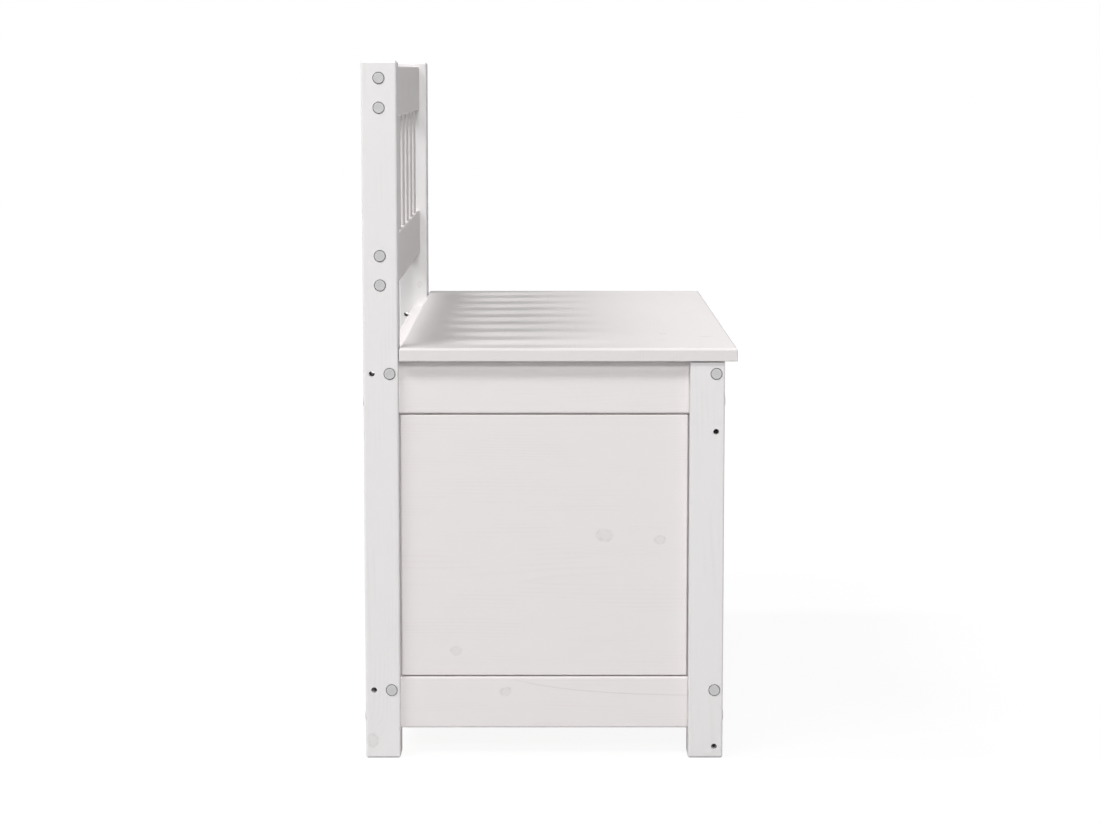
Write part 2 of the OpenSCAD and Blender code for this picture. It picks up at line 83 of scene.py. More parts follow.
Box = tuple[Vector, Vector]
Colour = tuple[float, float, float, float]
Place = tuple[float, float, float]
Range = tuple[float, float]
Socket = bpy.types.NodeSocket


class Grain(Enum):
    """Which way the fibres of a timber run, in the order of the axes.

    Each value is the turn that brings the fibres onto X.
    """

    ALONG_X = (0.0, 0.0, 0.0)
    ALONG_Y = (0.0, 0.0, -math.pi / 2)
    ALONG_Z = (0.0, math.pi / 2, 0.0)


class Strips(Enum):
    """Which way the glued strips of a wide board lie beside each other, seen along the grain."""

    NONE = ""
    SIDE_BY_SIDE = "Y"
    STACKED = "Z"


def linear_colour(hex_code: str) -> Colour:
    """Turns an sRGB colour into the linear colour that a socket takes, by that standard's formula.

    Args:
        hex_code: A hash sign and six hex digits.

    Returns:
        Red, green, blue and alpha, each from 0 to 1.
    """
    parts = [int(hex_code[start : start + 2], 16) / 255 for start in (1, 3, 5)]
    red, green, blue = [
        part / 12.92 if part <= 0.04045 else ((part + 0.055) / 1.055) ** 2.4 for part in parts
    ]
    return red, green, blue, 1.0


def add_node(
    tree: bpy.types.NodeTree,
    kind: str,
    inputs: dict | None = None,
    output: str | int = 0,
    **settings: object,
) -> Socket | None:
    """Adds one node to a material or the world, with its settings and links.

    Args:
        tree: The tree that the node goes into.
        kind: Blender's name for the node, without its leading "ShaderNode".
        inputs: For each input's name or number, a socket to link or a value to set.
        output: Name or number of the output to hand back.
        **settings: The node's own settings, such as its operation.

    Returns:
        The output's socket, or nothing for a node that has none.
    """
    node = tree.nodes.new("ShaderNode" + kind)
    for setting, value in settings.items():
        setattr(node, setting, value)
    for name, value in (inputs or {}).items():
        if isinstance(value, bpy.types.NodeSocket):
            tree.links.new(value, node.inputs[name])
        else:
            node.inputs[name].default_value = value
    return node.outputs[output] if node.outputs else None


def limits(side: str, pair: Range | tuple[Socket, Socket]) -> dict[str, float | Socket]:
    """Names a pair of values or sockets as the limits of a range's "From" or "To" side."""
    return {side + " Min": pair[0], side + " Max": pair[1]}


def speckle(
    tree: bpy.types.NodeTree, place: Socket, length: float, width: float, detail: float = 2.0
) -> Socket:
    """Draws uneven noise whose spots have a real length along X and a real width across it.

    Args:
        tree: The tree that the nodes go into.
        place: The position in metres.
        length: Length of a spot in metres.
        width: Width of a spot in metres.
        detail: How much finer detail lies inside the spots.

    Returns:
        The noise's socket, from 0 to 1.
    """
    per_spot = (1 / length, 1 / width, 1 / width)
    scaled = add_node(tree, "VectorMath", {0: place, 1: per_spot}, operation="MULTIPLY")
    return add_node(tree, "TexNoise", {"Vector": scaled, "Scale": 1.0, "Detail": detail}, "Fac")


def new_material(name: str) -> tuple[bpy.types.Material, bpy.types.NodeTree]:
    """Starts a material with nothing in it yet.

    Args:
        name: The material's name.

    Returns:
        The material and its empty tree.
    """
    material = bpy.data.materials.new(name)
    material.use_nodes = True
    material.node_tree.nodes.clear()
    return material, material.node_tree


@dataclass(frozen=True)
class Knot:
    """One knot in a board, by its middle on the bench and its radius."""

    middle: Place
    radius: float


@dataclass(frozen=True)
class Hairline:
    """A fine lifted seam in a side rail: it falls from its start and levels out towards the front."""

    start: Place
    drop: float = 17 * MM
    reach: float = 72 * MM
    half_width: float = 1.0 * MM
    strength: float = 0.85
    # Share of the reach over which it fades in, before and behind its start
    fade: float = 0.15

    def draw(self, tree: bpy.types.NodeTree, place: Socket) -> Socket:
        """Draws the seam.

        Args:
            tree: The tree that the nodes go into.
            place: The place on the bench.

        Returns:
            The socket of the seam's darkness, from 0 to the seam's strength.
        """
        y = add_node(tree, "SeparateXYZ", {0: place}, "Y")
        z = add_node(tree, "SeparateXYZ", {0: place}, "Z")
        behind = add_node(tree, "Math", {0: y, 1: self.start[1]}, operation="SUBTRACT")
        reaches_behind = add_node(tree, "Math", {0: behind, 1: self.reach}, operation="DIVIDE")
        share_left = add_node(tree, "Math", {0: reaches_behind}, operation="EXPONENT")
        lowest = self.start[2] - self.drop
        seam_z = add_node(
            tree, "Math", {0: share_left, 1: self.drop, 2: lowest}, operation="MULTIPLY_ADD"
        )
        above = add_node(tree, "Math", {0: z, 1: seam_z}, operation="SUBTRACT")
        away = add_node(tree, "Math", {0: above}, operation="ABSOLUTE")
        across = limits("From", (self.half_width, 0.0))
        line = add_node(
            tree,
            "MapRange",
            {"Value": away, "To Max": self.strength, **across},
            interpolation_type="SMOOTHSTEP",
        )
        # It fades out behind its start instead of running on upwards
        fading = limits("From", (self.fade, -self.fade))
        begun = add_node(tree, "MapRange", {"Value": reaches_behind, **fading})
        return add_node(tree, "Math", {0: line, 1: begun}, operation="MULTIPLY")


@dataclass(frozen=True)
class FigureSockets:
    """The drawn figure of one board: each socket runs from 0 to 1."""

    rings: Socket
    knots: Socket
    # The rims of the knots, and the hairline of a board that has one
    seams: Socket
    fibres: Socket
    clouds: Socket
    patches: Socket


@dataclass(frozen=True)
class PineFigure:
    """The growth rings, knots and fibres of one pine board, in real sizes.

    The rings are round the heart of the log, which lies outside the board, so that a face
    shows straight lines where it was cut across the rings and arches where it was cut along them.
    """

    grain: Grain
    middle: Place
    heart: tuple[float, float]
    lean: tuple[float, float]
    knots: tuple[Knot, ...] = ()
    knot_weights: Place = (1.0, 1.0, 1.0)
    strips: Strips = Strips.NONE
    strip_width: float = 0.0
    hairline: Hairline | None = None
    # How far apart the hearts of two glued strips may be, along and across the grain
    strip_moves: Place = (2.0, 0.08, 0.08)
    ring_spacing: float = 3.4 * MM
    wander: float = 26 * MM
    wander_length: float = 0.45
    wander_width: float = 0.09
    # The shares of a ring at which it is still pale and fully dark: late wood darkens slowly
    # towards the ring's end, where it stops almost at once
    late_wood_rise: Range = (0.35, 0.86)
    late_wood_fall: Range = (1.0, 0.9)
    # Where the rings swing out round a knot, its stain shows and its rim gives way to its middle:
    # each begins and is complete at these distances, in the knot's own radii
    swing: Range = (4.5, 0.4)
    stain: Range = (1.25, 0.75)
    centre: Range = (0.95, 0.45)
    # The distance that stands for having no knot at all
    no_knot: float = 99.0
    knot_push: float = 7 * MM
    knot_rings: float = 3.3
    knot_lump: float = 9 * MM
    knot_unevenness: Range = (-0.45, 0.45)
    rim_gap: float = 6 * MM
    # The noise between these levels breaks a rim up, and thins the coat of paint in clouds
    rim_levels: Range = (0.35, 0.7)
    cloud_levels: Range = (0.46, 0.66)
    cloud_length: float = 120 * MM
    cloud_width: float = 20 * MM
    fibre_length: float = 30 * MM
    # Real fibres are 0.04 mm wide; they are drawn this coarse so that they show in the picture
    fibre_width: float = 1.1 * MM

    def draw(self, tree: bpy.types.NodeTree) -> FigureSockets:
        """Draws the figure.

        Args:
            tree: The tree that the nodes go into.

        Returns:
            The sockets that a finish takes its colours and bumps from.
        """
        place = add_node(tree, "TexCoord", output="Object")
        turn = Euler(self.grain.value)
        to_middle = turn.to_matrix() @ -Vector(self.middle)
        # The lean turns the log a little against the board
        leaning = (turn.x, turn.y + self.lean[0], turn.z + self.lean[1])
        along = add_node(
            tree, "Mapping", {"Vector": place, "Location": tuple(to_middle), "Rotation": leaning}
        )
        from_heart = self.from_heart(tree, along)
        nearest = self.nearest_knot(tree, place)
        inside, centre = [
            add_node(
                tree,
                "MapRange",
                {"Value": nearest, **limits("From", distances)},
                interpolation_type="SMOOTHSTEP",
            )
            for distances in (self.stain, self.centre)
        ]
        trunk_rings = self.late_wood(tree, self.ring_count(tree, from_heart, nearest))
        branch_rings = self.late_wood(
            tree, add_node(tree, "Math", {0: nearest, 1: self.knot_rings}, operation="MULTIPLY")
        )
        rim = add_node(tree, "Math", {0: inside, 1: centre}, operation="SUBTRACT")
        gaps = speckle(tree, place, self.rim_gap, self.rim_gap, detail=1.0)
        broken = add_node(tree, "MapRange", {"Value": gaps, **limits("From", self.rim_levels)})
        seams = add_node(tree, "Math", {0: rim, 1: broken}, operation="MULTIPLY")
        if self.hairline:
            hairline = self.hairline.draw(tree, place)
            seams = add_node(tree, "Math", {0: seams, 1: hairline}, operation="MAXIMUM")
        clouds = speckle(tree, from_heart, self.cloud_length, self.cloud_width, detail=3.0)
        # Outside a knot the rings of the trunk show, and inside it those of the branch
        rings = limits("To", (trunk_rings, branch_rings))
        return FigureSockets(
            rings=add_node(tree, "MapRange", {"Value": inside, **rings}),
            knots=inside,
            seams=seams,
            fibres=speckle(tree, from_heart, self.fibre_length, self.fibre_width),
            clouds=clouds,
            patches=add_node(
                tree,
                "MapRange",
                {"Value": clouds, **limits("From", self.cloud_levels)},
                interpolation_type="SMOOTHSTEP",
            ),
        )

    def ring_count(self, tree: bpy.types.NodeTree, from_heart: Socket, nearest: Socket) -> Socket:
        """Counts the rings from the heart of the log to each point.

        Args:
            tree: The tree that the nodes go into.
            from_heart: The place measured from the heart.
            nearest: How far the nearest knot is, in its own radii.

        Returns:
            The number of rings, with its fraction.
        """
        across = add_node(tree, "VectorMath", {0: from_heart, 1: (0, 1, 1)}, operation="MULTIPLY")
        radius = add_node(tree, "VectorMath", {0: across}, "Value", operation="LENGTH")
        # The rings wander slowly along the trunk, and swing out round each knot
        drift = speckle(tree, from_heart, self.wander_length, self.wander_width, detail=1.0)
        wandering = add_node(
            tree, "Math", {0: drift, 1: self.wander, 2: radius}, operation="MULTIPLY_ADD"
        )
        pushed = add_node(
            tree,
            "MapRange",
            {"Value": nearest, "To Max": self.knot_push, **limits("From", self.swing)},
            interpolation_type="SMOOTHSTEP",
        )
        total = add_node(tree, "Math", {0: wandering, 1: pushed}, operation="ADD")
        return add_node(tree, "Math", {0: total, 1: self.ring_spacing}, operation="DIVIDE")

    def late_wood(self, tree: bpy.types.NodeTree, count: Socket) -> Socket:
        """Shades each ring from pale early wood to the dark line of late wood where it ends.

        Args:
            tree: The tree that the nodes go into.
            count: The number of rings from the heart to here, with its fraction.

        Returns:
            The darkness of the ring, from 0 to 1.
        """
        through_ring = add_node(tree, "Math", {0: count}, operation="FRACT")
        rise, fall = [
            add_node(
                tree,
                "MapRange",
                {"Value": through_ring, **limits("From", shares)},
                interpolation_type="SMOOTHSTEP",
            )
            for shares in (self.late_wood_rise, self.late_wood_fall)
        ]
        return add_node(tree, "Math", {0: rise, 1: fall}, operation="MULTIPLY")

    def from_heart(self, tree: bpy.types.NodeTree, along: Socket) -> Socket:
        """Gives the place measured from the heart of the log, another log for each glued strip.

        Args:
            tree: The tree that the nodes go into.
            along: The place measured from the board's middle, with its grain on X.

        Returns:
            The place's socket.
        """
        heart = (0.0, *self.heart)
        if self.strips is Strips.NONE:
            return add_node(tree, "VectorMath", {0: along, 1: heart}, operation="SUBTRACT")
        across = add_node(tree, "SeparateXYZ", {0: along}, self.strips.value)
        # Half a strip is added, so that one strip lies in the middle of the board
        strip = add_node(
            tree, "Math", {0: across, 1: 1 / self.strip_width, 2: 0.5}, operation="MULTIPLY_ADD"
        )
        number = add_node(tree, "Math", {0: strip}, operation="FLOOR")
        chance = add_node(tree, "TexWhiteNoise", {"W": number}, "Color", noise_dimensions="1D")
        moves = add_node(
            tree, "VectorMath", {0: chance, 1: self.strip_moves, 2: heart}, operation="MULTIPLY_ADD"
        )
        return add_node(tree, "VectorMath", {0: along, 1: moves}, operation="SUBTRACT")

    def nearest_knot(self, tree: bpy.types.NodeTree, place: Socket) -> Socket:
        """Measures how far the nearest knot is, in that knot's own radii.

        Args:
            tree: The tree that the nodes go into.
            place: The place on the bench.

        Returns:
            The distance's socket: 1 is the knot's uneven edge.
        """
        nearest = self.no_knot
        for knot in self.knots:
            offset = add_node(tree, "VectorMath", {0: place, 1: knot.middle}, operation="SUBTRACT")
            radii = tuple(weight / knot.radius for weight in self.knot_weights)
            flat = add_node(tree, "VectorMath", {0: offset, 1: radii}, operation="MULTIPLY")
            distance = add_node(tree, "VectorMath", {0: flat}, "Value", operation="LENGTH")
            nearest = add_node(tree, "Math", {0: distance, 1: nearest}, operation="MINIMUM")
        lumps = speckle(tree, place, self.knot_lump, self.knot_lump)
        uneven = add_node(tree, "MapRange", {"Value": lumps, **limits("To", self.knot_unevenness)})
        return add_node(tree, "Math", {0: nearest, 1: uneven}, operation="ADD")


class Finish:
    """What all finishes share: each says what goes into its shader."""

    def shader_inputs(
        self, tree: bpy.types.NodeTree, *figure: FigureSockets
    ) -> dict[str, object]:
        """Draws the finish, which each kind of finish does in its own way.

        Args:
            tree: The tree that the nodes go into.
            *figure: The drawn figure of the board, for a finish that shows one.

        Returns:
            A socket or a value for each input of the shader that the finish sets.
        """
        raise NotImplementedError

    def material(self, name: str, figure: PineFigure | None = None) -> bpy.types.Material:
        """Makes the finish's material.

        Args:
            name: The material's name.
            figure: The figure of the board, for a finish that shows one.

        Returns:
            The material.
        """
        material, tree = new_material(name)
        drawn = [figure.draw(tree)] if figure else []
        shader = add_node(tree, "BsdfPrincipled", self.shader_inputs(tree, *drawn))
        add_node(tree, "OutputMaterial", {"Surface": shader})
        return material


@dataclass(frozen=True)
class PaintedPine(Finish):
    """Solid pine under two thin sprayed coats of dull white satin furniture paint.

    The paint hides the wood's colour but fills it unevenly: late wood shows here and there as a
    faint warm line, a knot as a small greyish stain with a broken rim, and the fibres stand up a
    little. The coat is thinnest on the sharp edges.
    """

    paint: str = "#E3DEDE"
    bleed: str = "#B09A8C"
    knot_bleed: str = "#8C807A"
    ring_share: float = 0.05
    knot_share: float = 0.08
    seam_share: float = 0.2
    edge_share: float = 0.12
    # How well the rounded and the flat face agree where an edge begins and at its middle
    edge_levels: Range = (0.99, 0.8)
    roughness: Range = (0.57, 0.71)
    edge_softness: float = 0.7 * MM
    fibre_height: float = 0.03 * MM
    ring_height: float = 0.02 * MM
    # How much higher a knot's rim or a hairline stands than a ring
    seam_relief: float = 5.0

    def shader_inputs(self, tree: bpy.types.NodeTree, drawn: FigureSockets) -> dict[str, object]:
        """Draws the paint over one board.

        Args:
            tree: The tree that the nodes go into.
            drawn: The drawn figure of the board.

        Returns:
            The shader's colour, roughness and bumps.
        """
        bleed = linear_colour(self.bleed)
        knot_bleed = linear_colour(self.knot_bleed)
        rounded = add_node(tree, "Bevel", {"Radius": self.edge_softness}, samples=BEVEL_SAMPLES)
        flat = add_node(tree, "NewGeometry", output="True Normal")
        facing_edge = add_node(
            tree, "VectorMath", {0: rounded, 1: flat}, "Value", operation="DOT_PRODUCT"
        )
        # Late wood bleeds through only where the coat is thin
        shown_rings = add_node(tree, "Math", {0: drawn.rings, 1: drawn.patches}, operation="MULTIPLY")
        ring_bleed = add_node(tree, "Math", {0: shown_rings, 1: self.ring_share}, operation="MULTIPLY")
        knot_stain = add_node(tree, "Math", {0: drawn.knots, 1: self.knot_share}, operation="MULTIPLY")
        seam_stain = add_node(tree, "Math", {0: drawn.seams, 1: self.seam_share}, operation="MULTIPLY")
        thin_edge = add_node(
            tree,
            "MapRange",
            {"Value": facing_edge, "To Max": self.edge_share, **limits("From", self.edge_levels)},
        )
        colour = linear_colour(self.paint)
        for share, over in (
            (ring_bleed, bleed),
            (knot_stain, knot_bleed),
            (seam_stain, knot_bleed),
            (thin_edge, bleed),
        ):
            layers = {SHARE: share, UNDER: colour, OVER: over}
            colour = add_node(tree, "Mix", layers, MIXED, data_type="RGBA")
        relief = add_node(
            tree,
            "Math",
            {0: drawn.seams, 1: self.seam_relief, 2: shown_rings},
            operation="MULTIPLY_ADD",
        )
        ridges = add_node(
            tree, "Bump", {"Height": relief, "Distance": self.ring_height, "Normal": rounded}
        )
        bumps = add_node(
            tree,
            "Bump",
            {"Height": drawn.fibres, "Distance": self.fibre_height, "Normal": ridges},
        )
        sheen = add_node(
            tree, "MapRange", {"Value": drawn.fibres, **limits("To", self.roughness)}
        )
        return {"Base Color": colour, "Roughness": sheen, "Normal": bumps}


@dataclass(frozen=True)
class PlanedPine(Finish):
    """Bare planed and sanded pine: pale straw yellow, with darker late wood and brown knots."""

    early: str = "#E2C79C"
    late: str = "#C4945C"
    knot: str = "#8E5C34"
    rim: str = "#5E3A22"
    ring_share: float = 0.75
    cloud_share: float = 0.35
    fibre_share: float = 0.28
    knot_share: float = 0.8
    rim_share: float = 0.9
    # Dark fibres set in at the first of these levels of the noise and are full at the second
    fibre_levels: Range = (0.55, 0.8)
    # From soft early wood to hard late wood, which takes more shine from the plane
    roughness: Range = (0.58, 0.46)
    edge_softness: float = 0.6 * MM
    fibre_height: float = 0.08 * MM

    def shader_inputs(self, tree: bpy.types.NodeTree, drawn: FigureSockets) -> dict[str, object]:
        """Draws the bare wood of one board.

        Args:
            tree: The tree that the nodes go into.
            drawn: The drawn figure of the board.

        Returns:
            The shader's colour, roughness and bumps.
        """
        dark_fibres = add_node(
            tree, "MapRange", {"Value": drawn.fibres, **limits("From", self.fibre_levels)}
        )
        colour = linear_colour(self.early)
        for mark, share, over in (
            (drawn.rings, self.ring_share, self.late),
            (drawn.clouds, self.cloud_share, self.late),
            (dark_fibres, self.fibre_share, self.knot),
            (drawn.knots, self.knot_share, self.knot),
            (drawn.seams, self.rim_share, self.rim),
        ):
            stain = add_node(tree, "Math", {0: mark, 1: share}, operation="MULTIPLY")
            layers = {SHARE: stain, UNDER: colour, OVER: linear_colour(over)}
            colour = add_node(tree, "Mix", layers, MIXED, data_type="RGBA")
        rounded = add_node(tree, "Bevel", {"Radius": self.edge_softness}, samples=BEVEL_SAMPLES)
        bumps = add_node(
            tree,
            "Bump",
            {"Height": drawn.fibres, "Distance": self.fibre_height, "Normal": rounded},
        )
        sheen = add_node(tree, "MapRange", {"Value": drawn.rings, **limits("To", self.roughness)})
        return {"Base Color": colour, "Roughness": sheen, "Normal": bumps}


@dataclass(frozen=True)
class TurnedBeech(Finish):
    """Beech dowel rod: an even pinkish brown with short dark flecks along the grain."""

    wood: str = "#C9A07A"
    fleck: str = "#9B6B48"
    fleck_length: float = 3 * MM
    fleck_width: float = 0.5 * MM
    fleck_levels: Range = (0.58, 0.75)
    fleck_share: float = 0.6
    fleck_height: float = 0.05 * MM
    roughness: float = 0.55

    def shader_inputs(self, tree: bpy.types.NodeTree) -> dict[str, object]:
        """Draws the dowels' wood.

        Args:
            tree: The tree that the nodes go into.

        Returns:
            The shader's colour, roughness and bumps.
        """
        place = add_node(tree, "TexCoord", output="Object")
        fibres = speckle(tree, place, self.fleck_length, self.fleck_width)
        flecks = add_node(
            tree,
            "MapRange",
            {"Value": fibres, "To Max": self.fleck_share, **limits("From", self.fleck_levels)},
        )
        layers = {SHARE: flecks, UNDER: linear_colour(self.wood), OVER: linear_colour(self.fleck)}
        colour = add_node(tree, "Mix", layers, MIXED, data_type="RGBA")
        bumps = add_node(tree, "Bump", {"Height": flecks, "Distance": self.fleck_height})
        return {"Base Color": colour, "Roughness": self.roughness, "Normal": bumps}


@dataclass(frozen=True)
class MouldedPlastic(Finish):
    """Injection-moulded grey polyethylene: even and half dull, from its mould's fine spark grit."""

    pale: str = "#C6C6C6"
    dull: str = "#BCBBBB"
    cloud_size: float = 5 * MM
    roughness: Range = (0.39, 0.51)
    # The mould's grit is 0.05 mm; it is drawn this coarse so that it shows close up
    grit_size: float = 0.35 * MM
    grit_height: float = 0.015 * MM

    def shader_inputs(self, tree: bpy.types.NodeTree) -> dict[str, object]:
        """Draws the caps' plastic.

        Args:
            tree: The tree that the nodes go into.

        Returns:
            The shader's colour, roughness and bumps.
        """
        place = add_node(tree, "TexCoord", output="Object")
        clouds = speckle(tree, place, self.cloud_size, self.cloud_size)
        layers = {SHARE: clouds, UNDER: linear_colour(self.pale), OVER: linear_colour(self.dull)}
        colour = add_node(tree, "Mix", layers, MIXED, data_type="RGBA")
        grit = speckle(tree, place, self.grit_size, self.grit_size, detail=1.0)
        bumps = add_node(tree, "Bump", {"Height": grit, "Distance": self.grit_height})
        sheen = add_node(tree, "MapRange", {"Value": grit, **limits("To", self.roughness)})
        return {"Base Color": colour, "Roughness": sheen, "Normal": bumps}


@dataclass(frozen=True)
class PressedFelt(Finish):
    """Pressed wool felt: dark grey with paler loose fibres and no shine."""

    wool: str = "#585A5C"
    loose: str = "#8A8C8E"
    # A wool fibre is 0.02 mm thick; tufts of them are drawn, which show close up
    tuft_length: float = 1.6 * MM
    tuft_width: float = 0.3 * MM
    tuft_height: float = 0.2 * MM
    loose_levels: Range = (0.5, 0.75)
    roughness: float = 0.95
    sheen: float = 0.4

    def shader_inputs(self, tree: bpy.types.NodeTree) -> dict[str, object]:
        """Draws the pads' felt.

        Args:
            tree: The tree that the nodes go into.

        Returns:
            The shader's colour, roughness, sheen and bumps.
        """
        place = add_node(tree, "TexCoord", output="Object")
        tufts = speckle(tree, place, self.tuft_length, self.tuft_width, detail=3.0)
        loose = add_node(tree, "MapRange", {"Value": tufts, **limits("From", self.loose_levels)})
        layers = {SHARE: loose, UNDER: linear_colour(self.wool), OVER: linear_colour(self.loose)}
        colour = add_node(tree, "Mix", layers, MIXED, data_type="RGBA")
        return {
            "Base Color": colour,
            "Roughness": self.roughness,
            "Sheen Weight": self.sheen,
            "Normal": add_node(tree, "Bump", {"Height": tufts, "Distance": self.tuft_height}),
        }


@dataclass(frozen=True)
class ZincPlatedSteel(Finish):
    """Steel with a thin bright zinc coat: silvery, faintly blue and a little cloudy."""

    bright: str = "#C9CCD0"
    cloudy: str = "#A9ADB3"
    cloud_size: float = 4 * MM
    cloud_levels: Range = (0.35, 0.7)
    roughness: Range = (0.26, 0.46)
    # Rolling or drawing marks, which run along X
    mark_length: float = 12 * MM
    mark_width: float = 0.4 * MM
    mark_height: float = 0.01 * MM
    edge_softness: float = 0.25 * MM

    def shader_inputs(self, tree: bpy.types.NodeTree) -> dict[str, object]:
        """Draws the plated steel.

        Args:
            tree: The tree that the nodes go into.

        Returns:
            The shader's colour, metal, roughness and bumps.
        """
        place = add_node(tree, "TexCoord", output="Object")
        clouds = speckle(tree, place, self.cloud_size, self.cloud_size, detail=3.0)
        marks = speckle(tree, place, self.mark_length, self.mark_width)
        cloudy = add_node(tree, "MapRange", {"Value": clouds, **limits("From", self.cloud_levels)})
        layers = {SHARE: cloudy, UNDER: linear_colour(self.bright), OVER: linear_colour(self.cloudy)}
        colour = add_node(tree, "Mix", layers, MIXED, data_type="RGBA")
        rounded = add_node(tree, "Bevel", {"Radius": self.edge_softness}, samples=BEVEL_SAMPLES)
        bumps = add_node(
            tree, "Bump", {"Height": marks, "Distance": self.mark_height, "Normal": rounded}
        )
        sheen = add_node(tree, "MapRange", {"Value": clouds, **limits("To", self.roughness)})
        return {"Base Color": colour, "Metallic": 1.0, "Roughness": sheen, "Normal": bumps}


def dress(node: str, material: bpy.types.Material) -> None:
    """Puts a material on a CAD node.

    Args:
        node: The CAD node's name.
        material: The material that covers all of it.
    """
    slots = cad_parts[node].data.materials
    slots.clear()
    slots.append(material)
    log.info("%s is dressed in %s", node, material.name)


def add_piece(
    name: str, shape: bmesh.types.BMesh, material: bpy.types.Material, body: str, node: str
) -> None:
    """Makes an object of a finished mesh and lets it stand for a CAD node.

    Args:
        name: The piece's name.
        shape: Its mesh, in place on the bench. It is freed.
        material: Its material.
        body: The CAD body that it moves with.
        node: The CAD node that it stands for.
    """
    mesh = bpy.data.meshes.new(name)
    shape.to_mesh(mesh)
    shape.free()
    mesh.shade_smooth()
    mesh.set_sharp_from_angle(angle=SHARP_ANGLE)
    mesh.materials.append(material)
    piece = bpy.data.objects.new(name, mesh)
    bpy.context.scene.collection.objects.link(piece)
    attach(piece, body)
    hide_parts(node)
    log.info("%s stands for %s on %s", name, node, body)


def solids_in(node: str) -> list[Box]:
    """Finds the box of each separate solid in a CAD node, such as each screw of a group.

    Args:
        node: The CAD node's name.

    Returns:
        The lowest and highest corner of each solid, in the order of their places.
    """
    shape = bmesh.new()
    shape.from_mesh(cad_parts[node].data)
    bmesh.ops.remove_doubles(shape, verts=shape.verts, dist=SAME_PLACE)
    waiting = set(shape.verts)
    boxes = []
    while waiting:
        to_visit = [waiting.pop()]
        corners = []
        while to_visit:
            corner = to_visit.pop()
            corners.append(corner.co.copy())
            for edge in corner.link_edges:
                other = edge.other_vert(corner)
                if other in waiting:
                    waiting.remove(other)
                    to_visit.append(other)
        low = Vector(map(min, *corners))
        high = Vector(map(max, *corners))
        boxes.append((low, high))
    shape.free()
    return sorted(boxes, key=lambda box: tuple(round(value, PLACE_DIGITS) for value in box[0]))


def turned(profile: Iterable[tuple[float, float]], steps: int) -> bmesh.types.BMesh:
    """Turns a profile round Z into a closed solid, as on a lathe.

    Args:
        profile: Radius and height of each point in metres, from one pole to the other.
        steps: How many faces go round.

    Returns:
        The mesh.
    """
    shape = bmesh.new()
    points = [shape.verts.new((radius, 0.0, height)) for radius, height in profile]
    edges = [shape.edges.new(pair) for pair in zip(points, points[1:])]
    bmesh.ops.spin(
        shape,
        geom=points + edges,
        cent=(0, 0, 0),
        axis=(0, 0, 1),
        angle=math.tau,
        steps=steps,
        use_merge=True,
    )
    bmesh.ops.remove_doubles(shape, verts=shape.verts, dist=SAME_PLACE)
    bmesh.ops.recalc_face_normals(shape, faces=shape.faces)
    return shape


def copied_to(shape: bmesh.types.BMesh, places: Iterable[Matrix]) -> bmesh.types.BMesh:
    """Copies a shape to several places in one mesh.

    Args:
        shape: The shape, with its face looking along +Z. It is freed.
        places: Where each copy goes.

    Returns:
        One mesh of all the copies.
    """
    pattern = bpy.data.meshes.new("pattern")
    shape.to_mesh(pattern)
    shape.free()
    together = bmesh.new()
    for place in places:
        done = len(together.verts)
        together.from_mesh(pattern)
        together.verts.ensure_lookup_table()
        bmesh.ops.transform(together, matrix=place, verts=together.verts[done:])
    bpy.data.meshes.remove(pattern)
    return together


def facing(middle: Vector, direction: Vector) -> Matrix:
    """Gives the place of a shape whose own +Z looks in a direction.

    Args:
        middle: Where the shape's origin goes.
        direction: Where its +Z looks.

    Returns:
        The placing matrix.
    """
    return Matrix.Translation(middle) @ direction.to_track_quat("Z", "Y").to_matrix().to_4x4()


@dataclass(frozen=True)
class RoundSolid:
    """One round solid of a CAD node, such as a screw or a cap, by its middle and measures."""

    middle: Vector
    axis: int
    length: float
    width: float

    def end(self, side: float) -> Matrix:
        """Gives the place of one end, looking out of it.

        Args:
            side: 1 for the end that lies furthest along the axis, or -1 for the other.

        Returns:
            The placing matrix.
        """
        look = Vector((0, 0, 0))
        look[self.axis] = side
        return facing(self.middle + look * self.length / 2, look)


def round_solids(node: str, choose: Callable[..., int]) -> list[RoundSolid]:
    """Measures each round solid in a CAD node.

    Args:
        node: The CAD node's name.
        choose: max where a solid is longer than it is wide, or min where it is flatter.

    Returns:
        The solids, in the order of their places.
    """
    solids = []
    for low, high in solids_in(node):
        size = high - low
        axis = choose(range(3), key=lambda number: size[number])
        # Across its own axis a round solid is equally wide both ways
        solids.append(RoundSolid((low + high) / 2, axis, length=size[axis], width=size[axis - 1]))
    return solids


